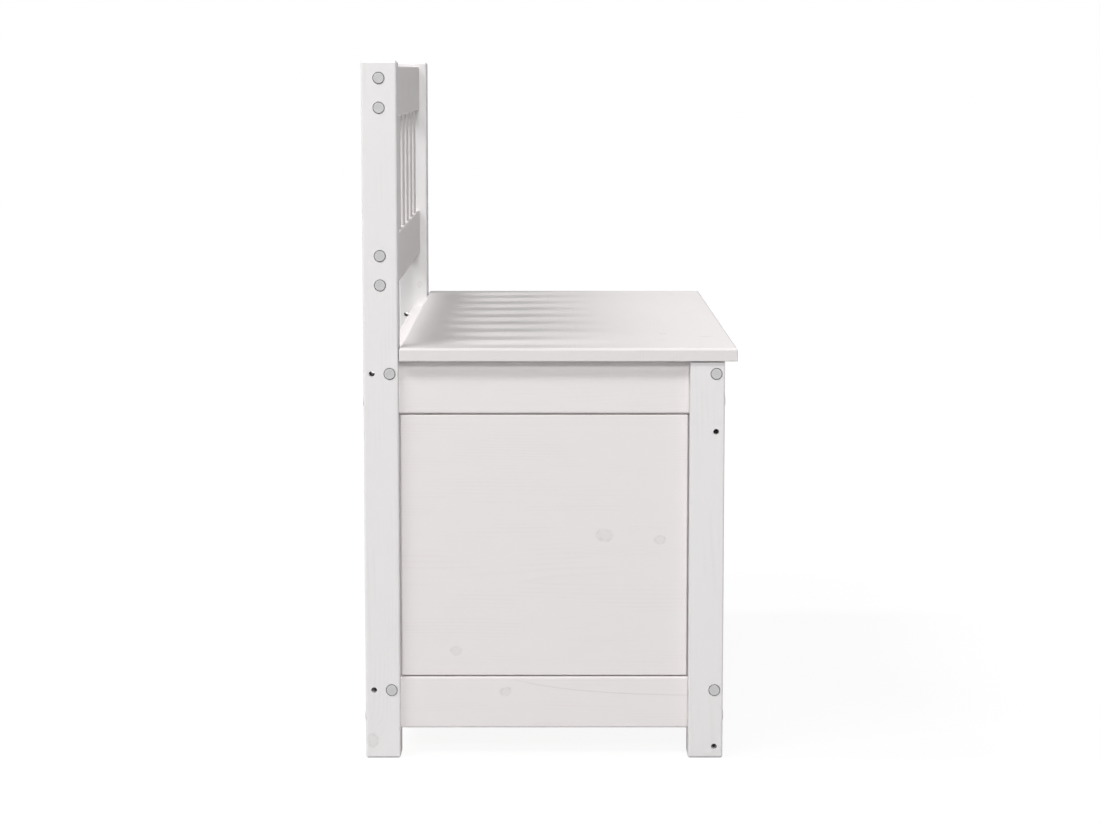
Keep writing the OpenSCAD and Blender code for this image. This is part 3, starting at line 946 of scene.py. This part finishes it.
def figure_of(
    node: str,
    grain: Grain,
    knot_count: int = 1,
    knots: tuple[Knot, ...] = (),
    strips: Strips = Strips.NONE,
    strip_width: float = 0.0,
    through: int | None = None,
    hairline: Hairline | None = None,
) -> PineFigure:
    """Chooses the figure of one board from its own name, so that each board differs.

    Args:
        node: The board's CAD node.
        grain: Which way its fibres run.
        knot_count: How many knots are scattered over it where none are given.
        knots: Knots at known places, such as those that the photograph shows.
        strips: Which way its glued strips lie, if it has any.
        strip_width: Width of those strips.
        through: The axis that its knots run along, if it isn't the thinnest one.
        hairline: Its lifted seam, if it has one.

    Returns:
        The figure.
    """
    chance = random.Random(node)
    low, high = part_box(node)
    middle = (low + high) / 2
    size = high - low
    along = list(Grain).index(grain)
    if through is None:
        through = min(range(3), key=lambda axis: size[axis])
    weights = [1.0, 1.0, 1.0]
    weights[along] = WEIGHT_ALONG_GRAIN
    weights[through] = 0.0
    scattered = []
    for _ in range(0 if knots else knot_count):
        radius = chance.uniform(*KNOT_RADII)
        # A knot stays clear of the board's edges, so that it never shows as a band on them
        room = [max(0.0, size[axis] / 2 - KNOT_CLEARANCE * radius) for axis in range(3)]
        spot = [middle[axis] + chance.uniform(-1, 1) * room[axis] for axis in range(3)]
        scattered.append(Knot(tuple(spot), radius))
    beside = chance.uniform(-HEART_BESIDE, HEART_BESIDE)
    depth = chance.choice((-1, 1)) * chance.uniform(*HEART_DEPTHS)
    lean = [chance.uniform(-LARGEST_LEAN, LARGEST_LEAN) for _ in range(2)]
    return PineFigure(
        grain=grain,
        middle=tuple(middle),
        heart=(beside, depth),
        lean=tuple(lean),
        knots=knots or tuple(scattered),
        knot_weights=tuple(weights),
        strips=strips,
        strip_width=strip_width,
        hairline=hairline,
    )


@dataclass
class Uprights:
    """The front legs and rear posts: square pine, one piece each."""

    finish: PaintedPine
    foot_knot_height: float = 20 * MM
    foot_knot_inset: float = 8 * MM
    foot_knot_radius: float = 6 * MM

    def dress_all(self) -> None:
        """Dresses the legs and posts, with the faint knot at the foot of the left post."""
        low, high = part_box("rear_post_left")
        middle = (low.x, high.y - self.foot_knot_inset, self.foot_knot_height)
        foot_knot = Knot(middle, self.foot_knot_radius)
        for node, count, knots in (
            ("front_leg_left", 0, ()),
            ("front_leg_right", 2, ()),
            ("rear_post_left", 0, (foot_knot,)),
            ("rear_post_right", 2, ()),
        ):
            figure = figure_of(node, Grain.ALONG_Z, count, knots, through=X_AXIS)
            dress(node, self.finish.material("painted_" + node, figure))


@dataclass
class BaseFrame:
    """The eight rails and four panels between the legs and posts."""

    finish: PaintedPine
    strip_width: float = 88 * MM
    # The knots that the photograph shows on the left side, each as its Y, Z and radius
    panel_knots: tuple[Place, ...] = (
        (-0.061, 0.250, 7 * MM),
        (-0.122, 0.244, 5 * MM),
        (0.104, 0.119, 5 * MM),
    )
    rail_knots: tuple[Place, ...] = ((0.049, 0.073, 5 * MM),)
    # Where the hairline starts that it shows on the lower left rail, as Y and Z
    hairline_start: tuple[float, float] = (0.032, 0.085)

    def dress_all(self) -> None:
        """Dresses the rails and panels; the left side has the knots of the photograph."""
        for level in ("top", "bottom"):
            for wall in ("front", "rear"):
                node = f"{wall}_rail_{level}"
                dress(node, self.finish.material("painted_" + node, figure_of(node, Grain.ALONG_X, 2)))
            for side in ("left", "right"):
                node = f"side_rail_{level}_{side}"
                scattered = 1 if side == "right" else 0
                figure = figure_of(
                    node,
                    Grain.ALONG_Y,
                    scattered,
                    self.seen_knots(node),
                    hairline=self.seen_hairline(node),
                )
                dress(node, self.finish.material("painted_" + node, figure))
        for node, grain, count in (
            ("front_panel", Grain.ALONG_X, 5),
            ("rear_panel", Grain.ALONG_X, 5),
            ("side_panel_left", Grain.ALONG_Y, 3),
            ("side_panel_right", Grain.ALONG_Y, 3),
        ):
            figure = figure_of(
                node, grain, count, self.seen_knots(node), Strips.STACKED, self.strip_width
            )
            dress(node, self.finish.material("painted_" + node, figure))

    def seen_knots(self, node: str) -> tuple[Knot, ...]:
        """Gives the knots that the photograph shows on the left side.

        Args:
            node: The board's CAD node.

        Returns:
            The knots, or none where the photograph shows nothing of the board.
        """
        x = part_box(node)[0].x
        seen = {"side_panel_left": self.panel_knots, "side_rail_bottom_left": self.rail_knots}
        return tuple(Knot((x, y, z), radius) for y, z, radius in seen.get(node, ()))

    def seen_hairline(self, node: str) -> Hairline | None:
        """Gives the hairline that the photograph shows on the lower left rail.

        Args:
            node: The rail's CAD node.

        Returns:
            The hairline, or nothing for the other rails.
        """
        if node != "side_rail_bottom_left":
            return None
        return Hairline((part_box(node)[0].x, *self.hairline_start))


@dataclass
class Backrest:
    """The two backrest rails and the upright slats between them."""

    finish: PaintedPine

    def dress_all(self) -> None:
        """Dresses the rails and every slat that the frame has."""
        for node in ("back_rail_top", "back_rail_bottom"):
            dress(node, self.finish.material("painted_" + node, figure_of(node, Grain.ALONG_X, 2)))
        for node in sorted(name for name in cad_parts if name.startswith("back_slat")):
            dress(node, self.finish.material("painted_" + node, figure_of(node, Grain.ALONG_Z, 1)))


@dataclass
class ChestFloor:
    """The bare pine floor inside the chest and the cleats that carry it."""

    finish: PlanedPine
    strip_width: float = 76 * MM

    def dress_all(self) -> None:
        """Dresses the floor board and its cleats."""
        board = figure_of(
            "floor_board", Grain.ALONG_X, 7, strips=Strips.SIDE_BY_SIDE, strip_width=self.strip_width
        )
        dress("floor_board", self.finish.material("pine_floor_board", board))
        for side, grain in (
            ("front", Grain.ALONG_X),
            ("rear", Grain.ALONG_X),
            ("left", Grain.ALONG_Y),
            ("right", Grain.ALONG_Y),
        ):
            node = "floor_cleat_" + side
            dress(node, self.finish.material("pine_" + node, figure_of(node, grain)))


@dataclass
class SeatLid:
    """The seat board, which is the chest's lid, its battens and the felt pads it rests on."""

    finish: PaintedPine
    batten_finish: PlanedPine
    felt: PressedFelt
    strip_width: float = 93 * MM
    pad_rim: float = 0.25 * MM
    # The points of a pad's worn rim, inwards from its side and down from its top, in rims
    pad_rim_points: tuple[tuple[float, float], ...] = ((0.0, 1.0), (0.4, 0.2), (1.5, 0.0))
    pad_faces: int = 32

    def dress_all(self) -> None:
        """Dresses the seat board and battens and makes the pads."""
        board = figure_of(
            "seat_lid", Grain.ALONG_X, 6, strips=Strips.SIDE_BY_SIDE, strip_width=self.strip_width
        )
        dress("seat_lid", self.finish.material("painted_seat_lid", board))
        for side in ("left", "right"):
            node = "seat_batten_" + side
            dress(node, self.batten_finish.material("pine_" + node, figure_of(node, Grain.ALONG_Y)))
        self.make_pads()

    def make_pads(self) -> None:
        """Makes the round felt pads with their soft rims, where the frame has them."""
        boxes = solids_in("lid_pads")
        low, high = boxes[0]
        radius = (high.x - low.x) / 2
        height = high.z - low.z
        profile = [(0, 0), (radius, 0)]
        for inwards, down in self.pad_rim_points:
            profile.append((radius - inwards * self.pad_rim, height - down * self.pad_rim))
        profile.append((0, height))
        places = [
            Matrix.Translation(((low.x + high.x) / 2, (low.y + high.y) / 2, low.z))
            for low, high in boxes
        ]
        pads = copied_to(turned(profile, self.pad_faces), places)
        add_piece("felt_pads", pads, self.felt.material("pressed_felt"), "frame", "lid_pads")


@dataclass
class WoodScrews:
    """Countersunk wood screws with a cross recess, made in place of one CAD group."""

    head_height: float = 1.4 * MM
    recess_depth: float = 1.1 * MM
    recess_reach: float = 1.7 * MM
    recess_width: float = 0.8 * MM
    # Width of the recess at its bottom, as a share of its width at the top
    recess_taper: float = 0.6
    shank_width: float = 3 * MM
    faces: int = 24

    def shape(self, length: float, head_width: float) -> bmesh.types.BMesh:
        """Builds one screw with its head at the origin, looking along +Z.

        Args:
            length: Length over all.
            head_width: Diameter of the head.

        Returns:
            The mesh.
        """
        screw = bmesh.new()
        half = self.recess_width / 2
        bmesh.ops.create_grid(screw, x_segments=1, y_segments=1, size=half)
        bmesh.ops.delete(screw, geom=list(screw.faces), context="FACES_ONLY")
        # The cross: each side of a small square goes out by one arm
        for edge in list(screw.edges):
            out = (edge.verts[0].co + edge.verts[1].co).normalized()
            grown = bmesh.ops.extrude_edge_only(screw, edges=[edge])["geom"]
            ends = [part for part in grown if isinstance(part, bmesh.types.BMVert)]
            bmesh.ops.translate(screw, vec=out * (self.recess_reach - half), verts=ends)
        bmesh.ops.delete(screw, geom=list(screw.faces), context="FACES_ONLY")
        inner = [edge for edge in screw.edges if self.is_inner(edge, half)]
        bmesh.ops.delete(screw, geom=inner, context="EDGES")
        outline = list(screw.edges)
        deep = bmesh.ops.extrude_edge_only(screw, edges=outline)["geom"]
        bottom = [part for part in deep if isinstance(part, bmesh.types.BMVert)]
        bmesh.ops.translate(screw, vec=(0, 0, -self.recess_depth), verts=bottom)
        bmesh.ops.scale(screw, vec=(self.recess_taper, self.recess_taper, 1), verts=bottom)
        deep_edges = [part for part in deep if isinstance(part, bmesh.types.BMEdge)]
        bottom_edges = [edge for edge in deep_edges if len(edge.link_faces) == 1]
        bmesh.ops.contextual_create(screw, geom=bottom_edges)
        # The head and shank go on outside the cross
        ring = bmesh.ops.create_circle(
            screw, cap_ends=False, segments=self.faces, radius=head_width / 2
        )["verts"]
        # Each edge of the ring meets two of its corners, and is taken once, in their order
        ring_edges = list(dict.fromkeys(edge for corner in ring for edge in corner.link_edges))
        bmesh.ops.triangle_fill(screw, use_beauty=True, edges=outline + ring_edges)
        for depth in (self.head_height, length):
            ring_edges = self.carry_on(screw, ring_edges, self.shank_width / 2, -depth)
        bmesh.ops.contextual_create(screw, geom=ring_edges)
        bmesh.ops.recalc_face_normals(screw, faces=screw.faces)
        return screw

    def is_inner(self, edge: bmesh.types.BMEdge, half: float) -> bool:
        """Tells whether an edge belongs to the small square in the middle of the cross.

        Args:
            edge: The edge.
            half: Half the square's side.

        Returns:
            True for an edge of the square.
        """
        return all(
            max(abs(corner.co.x), abs(corner.co.y)) < half + SAME_PLACE for corner in edge.verts
        )

    def carry_on(
        self,
        screw: bmesh.types.BMesh,
        edges: list[bmesh.types.BMEdge],
        radius: float,
        height: float,
    ) -> list[bmesh.types.BMEdge]:
        """Extrudes a ring of edges to a new radius and height.

        Args:
            screw: The mesh.
            edges: The ring's edges.
            radius: The new ring's radius.
            height: The new ring's height.

        Returns:
            The new ring's edges.
        """
        grown = bmesh.ops.extrude_edge_only(screw, edges=edges)["geom"]
        ring = [part for part in grown if isinstance(part, bmesh.types.BMVert)]
        old = ring[0].co.to_2d().length
        bmesh.ops.scale(screw, vec=(radius / old, radius / old, 1), verts=ring)
        bmesh.ops.translate(screw, vec=(0, 0, height - ring[0].co.z), verts=ring)
        new_edges = [part for part in grown if isinstance(part, bmesh.types.BMEdge)]
        return [edge for edge in new_edges if all(corner in ring for corner in edge.verts)]

    def make(self, node: str, body: str, material: bpy.types.Material) -> None:
        """Makes every screw of one CAD group.

        Args:
            node: The CAD group, whose solids give the screws' places.
            body: The body that the screws move with.
            material: Their plated steel.
        """
        screws = round_solids(node, max)
        places = []
        for screw in screws:
            # Screws of a wall look into the chest and screws of the lid look down
            side = -1 if screw.axis == Z_AXIS or screw.middle[screw.axis] > 0 else 1
            places.append(screw.end(side))
        # All screws of a group are alike, so the last one gives their measures
        crossed = copied_to(self.shape(screws[-1].length, screws[-1].width), places)
        add_piece("cross_" + node, crossed, material, body, node)


@dataclass
class BoltFixings:
    """The bolts, barrel nuts and dowels of the joints and the caps over the bolt heads."""

    plastic: MouldedPlastic
    steel: ZincPlatedSteel
    beech: TurnedBeech
    cap_thickness: float = 2.3 * MM
    cap_edge: float = 0.5 * MM
    cap_dish: float = 0.12 * MM
    # The points of the dished face, outwards in shares of it and down in shares of the dish
    cap_dish_points: tuple[tuple[float, float], ...] = ((0.0, 1.0), (0.55, 1.0), (0.8, 0.3))
    cap_rim_steps: int = 6
    cap_faces: int = 40
    stem_width: float = 3.8 * MM

    def dress_all(self) -> None:
        """Dresses the hidden fixings and makes the caps."""
        zinc = self.steel.material("zinc_plated_fixings")
        for node in ("base_cross_bolts", "base_side_bolts", "backrest_bolts", "barrel_nuts"):
            dress(node, zinc)
        dress("frame_dowels", self.beech.material("turned_beech"))
        self.make_caps()

    def make_caps(self) -> None:
        """Makes the round caps: a dished face, a rounded rim and a stem into the bolt head's socket."""
        solids = round_solids("bolt_caps", min)
        places = [solid.end(math.copysign(1, solid.middle[solid.axis])) for solid in solids]
        # All caps are alike, so the last one gives their measures
        depth = solids[-1].length
        radius = solids[-1].width / 2
        flat = radius - self.cap_edge
        profile = [(out * flat, -down * self.cap_dish) for out, down in self.cap_dish_points]
        # The rim is a quarter round, and the side goes down into the recess round the bolt head
        for step in range(self.cap_rim_steps + 1):
            angle = math.pi / 2 * step / self.cap_rim_steps
            outwards = self.cap_edge * math.sin(angle)
            down = self.cap_edge * (1 - math.cos(angle))
            profile.append((flat + outwards, -down))
        profile += [
            (radius, -self.cap_thickness),
            (self.stem_width / 2, -self.cap_thickness),
            (self.stem_width / 2, -depth),
            (0, -depth),
        ]
        caps = copied_to(turned(profile, self.cap_faces), places)
        material = self.plastic.material("moulded_polyethylene")
        add_piece("grey_caps", caps, material, "frame", "bolt_caps")


@dataclass
class LidHinges:
    """The two concealed hinges at the rear edge of the seat, with their pins and screws."""

    steel: ZincPlatedSteel
    screws: WoodScrews

    def dress_all(self) -> None:
        """Dresses the leaves and pins and makes the screws of the hinges, battens and cleats."""
        leaves = self.steel.material("zinc_plated_hinge_leaves")
        for node in ("hinge_frame_leaves", "hinge_lid_leaves", "hinge_pins"):
            dress(node, leaves)
        bright_steel = ZincPlatedSteel(bright="#D2D4D7", roughness=(0.20, 0.40))
        screw_steel = bright_steel.material("zinc_plated_screws")
        for node, body in (
            ("hinge_frame_screws", "frame"),
            ("floor_cleat_screws", "frame"),
            ("hinge_lid_screws", "lid"),
            ("seat_batten_screws", "lid"),
        ):
            self.screws.make(node, body, screw_steel)


@dataclass
class Lamp:
    """One soft lamp, by its direction from the bench and its share of the light."""

    name: str
    towards: Place
    share: float
    width: float
    height: float
    distance: float = 8.0
    aim: Place = (0.0, 0.0, 0.4)

    def hang(self) -> None:
        """Hangs the lamp so that it gives its share of plain light to a face turned to it."""
        data = bpy.data.lights.new(self.name, "AREA")
        data.shape = "RECTANGLE"
        data.size = self.width
        data.size_y = self.height
        # A white face turned to a lamp of this power shows its colour as written, times the share
        data.energy = self.share * (math.pi * self.distance) ** 2
        lamp = bpy.data.objects.new(self.name, data)
        bpy.context.scene.collection.objects.link(lamp)
        look = Vector(self.towards).normalized()
        lamp.matrix_world = facing(Vector(self.aim) + look * self.distance, look)
        lamp.visible_camera = False
        log.info("%s hangs at %.2f of plain light", self.name, self.share)


@dataclass
class Studio:
    """The white room: floor, surroundings, lamps and the camera to the left of the bench."""

    floor_width: float = 24.0
    shown_paint: str = "#565656"
    lighting_paint: str = "#BCBCBC"
    floor_glow: float = 0.92
    # The floor turns plain white between these distances from the bench
    shadow_reach: float = 0.7
    white_from: float = 1.9
    # The camera's film and lens are in millimetres, as a lens is marked
    film_width: float = 36.0
    lens: float = 91.355
    camera_distance: float = 3.4337
    camera_y: float = 2.0 * MM
    camera_height: float = 0.7596
    camera_pitch: float = math.radians(6.974)
    camera_yaw: float = math.radians(0.043)

    def build(self) -> None:
        """Sets up everything round the bench."""
        self.lay_floor()
        self.light_surroundings()
        for lamp in (
            # A tall narrow lamp behind the backrest draws the shadows of the slats on the seat
            Lamp("lamp_behind", (-0.021, 0.601, 0.799), share=0.49, width=0.56, height=3.3),
            # Two flat lamps on the left draw the crisp shade of the seat's edge on the rail below it
            Lamp("lamp_left_behind", (-1.0, 0.9, 1.43), share=0.44, width=4.0, height=1.2),
            Lamp("lamp_left", (-1.0, -0.15, 1.43), share=0.23, width=2.7, height=1.2),
            # Three low lamps fill the shades on the left, on the front and on the right and back
            Lamp("lamp_left_low", (-1.0, -0.12, 0.5), share=0.385, width=2.7, height=1.2),
            Lamp("lamp_front_low", (0.15, -1.0, 0.2), share=0.1, width=2.7, height=2.7),
            Lamp("lamp_right_low", (0.814, 0.47, 0.342), share=0.16, width=2.7, height=2.7),
        ):
            lamp.hang()
        self.place_camera()

    def seen_directly(self, tree: bpy.types.NodeTree) -> Socket:
        """Tells the rays that see the white room from those that only carry its light.

        Args:
            tree: The tree that the nodes go into.

        Returns:
            A socket that is 1 for what the camera, gloss and glass see.
        """
        seen = 0.0
        for kind in ("Is Camera Ray", "Is Glossy Ray", "Is Transmission Ray"):
            ray = add_node(tree, "LightPath", output=kind)
            seen = add_node(tree, "Math", {0: ray, 1: seen}, operation="MAXIMUM")
        return seen

    def lay_floor(self) -> None:
        """Lays the pale floor, which shows white and keeps a soft shadow of the bench."""
        material, tree = new_material("pale_floor")
        seen = self.seen_directly(tree)
        layers = {
            SHARE: seen,
            UNDER: linear_colour(self.lighting_paint),
            OVER: linear_colour(self.shown_paint),
        }
        paint = add_node(tree, "Mix", layers, MIXED, data_type="RGBA")
        matt = add_node(tree, "BsdfDiffuse", {"Color": paint})
        place = add_node(tree, "TexCoord", output="Object")
        away = add_node(tree, "VectorMath", {0: place}, "Value", operation="LENGTH")
        fade = limits("From", (self.shadow_reach, self.white_from))
        glow = add_node(
            tree,
            "MapRange",
            {"Value": away, "To Min": self.floor_glow, **fade},
            interpolation_type="SMOOTHSTEP",
        )
        strength = add_node(tree, "Math", {0: seen, 1: glow}, operation="MULTIPLY")
        shine = add_node(tree, "Emission", {"Color": (1, 1, 1, 1), "Strength": strength})
        both = add_node(tree, "AddShader", {0: matt, 1: shine})
        add_node(tree, "OutputMaterial", {"Surface": both})
        shape = bmesh.new()
        bmesh.ops.create_grid(shape, x_segments=1, y_segments=1, size=self.floor_width / 2)
        mesh = bpy.data.meshes.new("floor")
        shape.to_mesh(mesh)
        shape.free()
        mesh.materials.append(material)
        floor = bpy.data.objects.new("floor", mesh)
        bpy.context.scene.collection.objects.link(floor)

    def light_surroundings(self) -> None:
        """Makes the surroundings white to look at, while the lamps alone light the bench."""
        world = bpy.data.worlds.new("white_room")
        world.use_nodes = True
        tree = world.node_tree
        tree.nodes.clear()
        seen = self.seen_directly(tree)
        light = add_node(tree, "Background", {"Color": (1, 1, 1, 1), "Strength": seen})
        add_node(tree, "OutputWorld", {"Surface": light})
        bpy.context.scene.world = world

    def place_camera(self) -> None:
        """Places the camera square to the bench's left side, a little above the seat."""
        data = bpy.data.cameras.new("camera")
        data.sensor_width = self.film_width
        data.lens = self.lens
        camera = bpy.data.objects.new("camera", data)
        camera.location = (-self.camera_distance, self.camera_y, self.camera_height)
        camera.rotation_euler = (
            math.pi / 2 - self.camera_pitch,
            0,
            -math.pi / 2 - self.camera_yaw,
        )
        bpy.context.scene.collection.objects.link(camera)
        bpy.context.scene.camera = camera


def main() -> None:
    """Builds the bench's looks and the studio, in order."""
    logging.basicConfig(level=logging.INFO, format="%(message)s")
    # The paint of the uprights differs by a trace from that of the other boards; the seat's paint is
    # the same white made a trace darker, painted shade that tones down the light on the seat
    paint = PaintedPine()
    upright_paint = PaintedPine(paint="#E2E0E0")
    seat_paint_with_painted_shade = PaintedPine(paint="#DCD8D8")
    pine = PlanedPine()
    steel = ZincPlatedSteel()
    Uprights(finish=upright_paint).dress_all()
    BaseFrame(finish=paint).dress_all()
    Backrest(finish=paint).dress_all()
    ChestFloor(finish=pine).dress_all()
    SeatLid(finish=seat_paint_with_painted_shade, batten_finish=pine, felt=PressedFelt()).dress_all()
    BoltFixings(plastic=MouldedPlastic(), steel=steel, beech=TurnedBeech()).dress_all()
    LidHinges(steel=steel, screws=WoodScrews()).dress_all()
    bpy.context.scene.view_settings.view_transform = "Standard"
    Studio().build()


if __name__ == "__main__":
    main()
